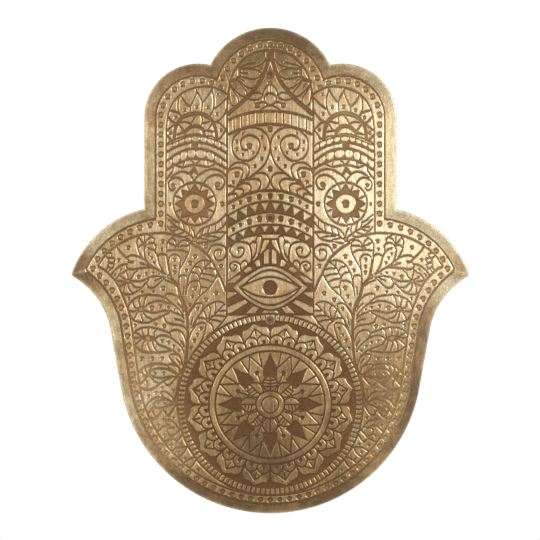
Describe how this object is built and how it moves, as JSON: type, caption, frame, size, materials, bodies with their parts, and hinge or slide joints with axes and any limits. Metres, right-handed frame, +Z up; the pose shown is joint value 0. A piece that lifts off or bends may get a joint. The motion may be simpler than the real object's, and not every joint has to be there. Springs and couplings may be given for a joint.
{
  "type": "hamsa hand wall ornament",
  "caption": "Etched brass hamsa hand with a turned-up rim, an eye in its fingers and a mandala in its palm, hung on a wall by a ring on its back.",
  "frame": {"origin": "on the swing axis of the hanging ring, at the centre line of the hand", "axes": "+Z up along the fingers, -Y out of the etched face towards the viewer, +X to the viewer's right"},
  "size_m": [0.2494, 0.0106, 0.3051],
  "materials": {
    "etched_brass": "antique brass, brushed, with dark etched recesses",
    "plain_brass": "mill finish, tarnished",
    "ring_brass": "drawn wire, tarnished",
    "rivet_brass": "hammered flush, darkened",
    "bumper_rubber": "matt moulded rubber"
  },
  "bodies": {
    "plaque": {"hand_plate": "etched_brass", "back_bar": "plain_brass", "rivet_upper": "rivet_brass", "rivet_middle": "rivet_brass", "rivet_lower": "rivet_brass", "bumper_upper_left": "bumper_rubber", "bumper_upper_right": "bumper_rubber", "bumper_lower_left": "bumper_rubber", "bumper_lower_right": "bumper_rubber"},
    "ring": {"hanging_ring": "ring_brass"}
  },
  "joints": [
    {"name": "ring_swing", "type": "hinge", "parent": "plaque", "child": "ring", "pos_m": [0, 0, 0], "axis": [1, 0, 0], "range_deg": [0, 180]}
  ]
}
